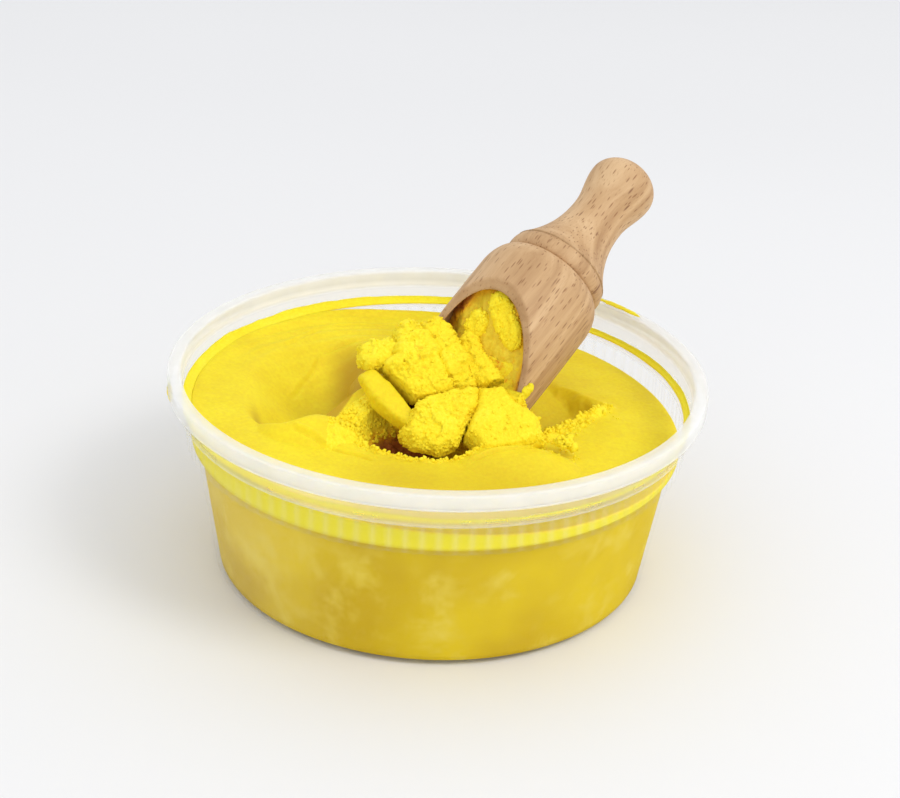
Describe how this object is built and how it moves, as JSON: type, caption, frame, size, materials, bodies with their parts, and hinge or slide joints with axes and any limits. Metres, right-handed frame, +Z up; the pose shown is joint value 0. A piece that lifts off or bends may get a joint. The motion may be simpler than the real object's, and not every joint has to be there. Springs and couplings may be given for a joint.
{
  "type": "tub of detailing clay with scoop",
  "caption": "Open round translucent tub filled with soft yellow detailing clay, with a small turned beech scoop standing in broken lumps.",
  "frame": {"origin": "centre of the tub's flat base", "axes": "+Z up out of the tub, -Y towards the side from which the scoop's mouth is seen, +X to the right of that side"},
  "size_m": [0.1174, 0.1174, 0.0814],
  "materials": {
    "tub_plastic": "translucent, frosted",
    "clay": "soft, matte, crumbly where broken",
    "scoop_wood": "turned beech, bare"
  },
  "bodies": {
    "filled_tub": {"tub": "tub_plastic", "clay_mass": "clay", "ledge_residue": "clay", "rim_smear_left": "clay", "rim_smear_back": "clay", "lump_front_left": "clay", "lump_front_right": "clay", "smooth_slab": "clay", "clay_ball": "clay", "crumbs_hollow": "clay", "crumbs_cut": "clay"},
    "loaded_scoop": {"scoop": "scoop_wood", "scoop_clay_pack": "clay", "scoop_clay_load": "clay", "slab_left": "clay", "slab_middle": "clay", "slab_right": "clay", "chip_left": "clay", "scoop_flake": "clay", "scoop_knob": "clay", "scoop_smear": "clay"}
  },
  "joints": [
    {"name": "scoop_pull", "type": "slide", "parent": "filled_tub", "child": "loaded_scoop", "axis": [0.5376, 0.6734, 0.5075], "range_m": [0, 0.12]}
  ]
}
